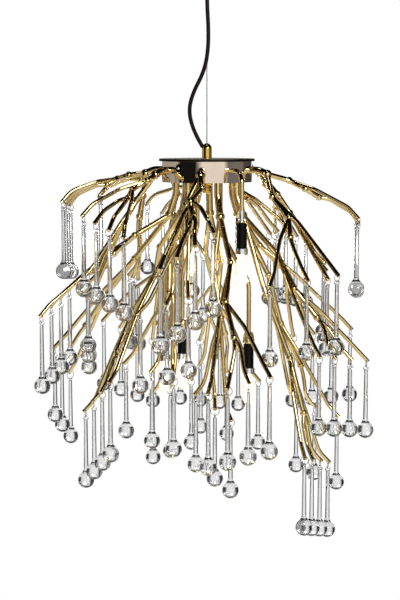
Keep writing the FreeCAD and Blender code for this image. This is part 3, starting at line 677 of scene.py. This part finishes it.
def drop_eye():
    """The glass loop at the top of a drop, standing in the YZ plane."""
    mesh = bpy.data.meshes.new("eye")
    work = bmesh.new()
    grid = []
    for i in range(EYE_AROUND):
        turn = 2 * math.pi * i / EYE_AROUND
        row = []
        for k in range(EYE_ACROSS):
            angle = 2 * math.pi * k / EYE_ACROSS
            reach = EYE_RADIUS + EYE_WIRE_RADIUS * math.cos(angle)
            row.append(work.verts.new((EYE_WIRE_RADIUS * math.sin(angle), reach * math.cos(turn),
                                       EYE_CENTRE + reach * math.sin(turn))))
        grid.append(row)
    for i in range(EYE_AROUND):
        for k in range(EYE_ACROSS):
            a, b = grid[i], grid[(i + 1) % EYE_AROUND]
            work.faces.new((a[k], b[k], b[(k + 1) % EYE_ACROSS], a[(k + 1) % EYE_ACROSS]))
    bmesh.ops.recalc_face_normals(work, faces=work.faces)
    work.to_mesh(mesh)
    work.free()
    return mesh


def glass_drop():
    """One drop, its eye and its body in one piece."""
    body = turned("drop_body", drop_outline(), DROP_SIDES)
    work = bmesh.new()
    work.from_mesh(body)
    bmesh.ops.recalc_face_normals(work, faces=work.faces)
    work.to_mesh(body)
    work.free()
    return united(body, drop_eye())


def upright_groups(name, count):
    """The vertices of a node's upright pieces, piece by piece."""
    places = np.array([vertex.co for vertex in frame["nodes"][name].data.vertices])
    level = places[:, :2]
    centres = [level[0]]
    while len(centres) < count:
        away = np.min([np.linalg.norm(level - centre, axis=1) for centre in centres], axis=0)
        centres.append(level[np.argmax(away)])
    for _ in range(GROUPING_ROUNDS):
        nearest = np.argmin([np.linalg.norm(level - centre, axis=1) for centre in centres], axis=0)
        centres = [level[nearest == k].mean(axis=0) for k in range(count)]
    return [places[nearest == k] for k in range(count)]


def count_of(name):
    """How many drops a row has, from its collision pieces."""
    return frame["record"]["physics"]["collision_pieces"][name] // 2


def hanging_places(name):
    """Where each drop of a row hangs: the top of its eye and the heading of the eye's axis."""
    found = []
    for own in upright_groups(name, count_of(name)):
        top = own[:, 2].max()
        eye = own[own[:, 2] > top - EYE_SHARE][:, :2]
        middle = (eye.min(axis=0) + eye.max(axis=0)) / 2
        spread = (eye - middle).T @ (eye - middle)
        _, axes = np.linalg.eigh(spread)
        found.append((Vector((*middle, top)), math.atan2(axes[1, 0], axes[0, 0])))
    return found


def drop_rows():
    """The rows of drops, each on its own body."""
    drop = glass_drop()
    for body, members in frame["record"]["behaviour"]["bodies"].items():
        for name in members:
            if not name.startswith("drops_"):
                continue
            drops = [moved(drop, *place) for place in hanging_places(name)]
            row = show(name.replace("drops_", "glass_"), joined(name, drops))
            dress(row, "drop_glass", body)
            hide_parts(name)


# Drum and lamp details


def band_nuts():
    """Domed nuts on the band, where the drum's inner frame is screwed to it."""
    outline = [(0, NUT_SHOULDER + NUT_RADIUS), *arc_points((0, NUT_SHOULDER), NUT_RADIUS, 80, 0, 8),
               (NUT_RADIUS, NUT_BASE), (0, NUT_BASE)]
    dome = turned("nut_dome", outline, sides=32, sharp=35)
    seat = turned("nut_seat", NUT_SEAT, sides=32, sharp=35)
    for name, mesh, slot in (("band_nuts", dome, "bright_chrome"), ("band_nut_seats", seat, "black_plastic")):
        copies = []
        for azimuth in NUT_AZIMUTHS:
            out = Vector((math.cos(math.radians(azimuth)), math.sin(math.radians(azimuth)), 0))
            place = Matrix.Translation(out * BAND_RADIUS + UP * (DRUM_TOP - NUT_DROP))
            copy = mesh.copy()
            copy.transform(place @ out.to_track_quat("Z", "Y").to_matrix().to_4x4())
            copies.append(copy)
        dress(show(name, joined(name, copies)), slot, "frame")


def lamp_trims():
    """Gold washers on the upper lamps' sockets and gold bells over the lower lamps' tubes."""
    washer = turned("washer", WASHER_OUTLINE, sides=40, sharp=35)
    bell = turned("bell", BELL_OUTLINE, sides=40, sharp=50)
    washers, bells = [], []
    for own in upright_groups("lamp_tubes", LAMP_COUNT):
        low, high = own.min(axis=0), own.max(axis=0)
        foot = Vector(((low[0] + high[0]) / 2, (low[1] + high[1]) / 2, low[2]))
        if foot.z > DRUM_TOP - LOWER_LAMPS_DROP:
            washers.append(moved(washer, foot))
        else:
            bells.append(moved(bell, foot))
    dress(show("lamp_washers", joined("lamp_washers", washers)), "arm_gold", "frame")
    dress(show("lamp_bells", joined("lamp_bells", bells)), "arm_gold", "frame")


# Studio


def studio_camera():
    """The camera that looks at the chandelier from the front."""
    data = bpy.data.cameras.new("camera")
    data.lens = CAMERA_LENS
    data.sensor_width = CAMERA_SENSOR
    data.clip_end = CAMERA_REACH
    camera = show("camera", data)
    aimed(camera, CAMERA_PLACE, CAMERA_AIM)
    bpy.context.scene.camera = camera


def studio_world():
    """White to the camera. Metal and glass see soft white walls with dark flags, and a dark ceiling."""
    world = bpy.data.worlds.new("studio")
    bpy.context.scene.world = world
    world.use_nodes = True
    tree = world.node_tree
    tree.nodes.clear()
    where = node(tree, "ShaderNodeTexCoord").outputs["Generated"]
    parts = node(tree, "ShaderNodeSeparateXYZ", {0: where}).outputs
    round_about = calc(tree, "ARCTAN2", parts["X"], calc(tree, "MULTIPLY", parts["Y"], -1.0))
    turn = mapped(tree, round_about, -math.pi, math.pi)
    off_level = mapped(tree, calc(tree, "ABSOLUTE", parts["Z"]), LEVEL_START, LEVEL_END)
    walls = blended(tree, off_level, ramped(tree, turn, WALLS_AT_DRUM), ramped(tree, turn, WALLS_AT_ARMS))
    path = node(tree, "ShaderNodeLightPath").outputs
    level = blended(tree, path["Is Transmission Ray"], walls, ramped(tree, turn, WALLS_BEHIND_GLASS))
    room = blended(tree, mapped(tree, parts["Z"], CEILING_START, CEILING_END), level, CEILING_COLOUR)
    around = node(tree, "ShaderNodeBackground", {"Color": room, "Strength": 1.0}).outputs[0]
    white = node(tree, "ShaderNodeBackground", {"Color": WHITE, "Strength": 1.0}).outputs[0]
    mix = node(tree, "ShaderNodeMixShader", {0: path["Is Camera Ray"], 1: around, 2: white})
    node(tree, "ShaderNodeOutputWorld", {"Surface": mix.outputs[0]})


def studio_floor():
    """A pale floor well below, white to the camera apart from a soft shade in the middle."""
    floor = show("floor", turned("floor", [(0, FLOOR_LEVEL), (FLOOR_RADIUS, FLOOR_LEVEL)], sides=96))
    material, tree, shader = fresh("floor")
    shader.inputs["Roughness"].default_value = 0.8
    grain = noise(tree, object_space(tree), 3.0, 5.0)
    tree.links.new(ramped(tree, grain, FLOOR_TONES), shader.inputs["Base Color"])
    path = node(tree, "ShaderNodeLightPath").outputs
    mirrored = calc(tree, "MAXIMUM", path["Is Glossy Ray"], path["Is Transmission Ray"])
    seen = calc(tree, "MAXIMUM", path["Is Camera Ray"], mirrored)
    bright = mapped(tree, axis_distance(tree), 0.0, FLOOR_FADE, FLOOR_MIDDLE, FLOOR_EDGE,
                    interpolation_type="SMOOTHERSTEP")
    white = node(tree, "ShaderNodeEmission", {"Color": WHITE, "Strength": 1.0}).outputs[0]
    lit = node(tree, "ShaderNodeMixShader",
               {0: calc(tree, "MULTIPLY", seen, bright), 1: shader.outputs[0], 2: white}).outputs[0]
    under = node(tree, "ShaderNodeNewGeometry").outputs["Backfacing"]
    clear = node(tree, "ShaderNodeBsdfTransparent").outputs[0]
    both = node(tree, "ShaderNodeMixShader", {0: under, 1: lit, 2: clear}).outputs[0]
    tree.links.new(both, tree.nodes["Material Output"].inputs["Surface"])
    floor.data.materials.append(material)


def studio_lamps():
    """Round lamps, all aimed at the middle of the chandelier."""
    for name, place, size, watts in STUDIO_LAMPS:
        data = bpy.data.lights.new(name, "AREA")
        data.shape = "DISK"
        data.size = size
        data.energy = watts
        aimed(show(name, data), place, LAMP_AIM)


studio_camera()
power_cord()
suspension_wire()
drop_rows()
band_nuts()
lamp_trims()
metal_nodes()
studio_world()
studio_floor()
studio_lamps()
bpy.context.scene.view_settings.view_transform = "Standard"
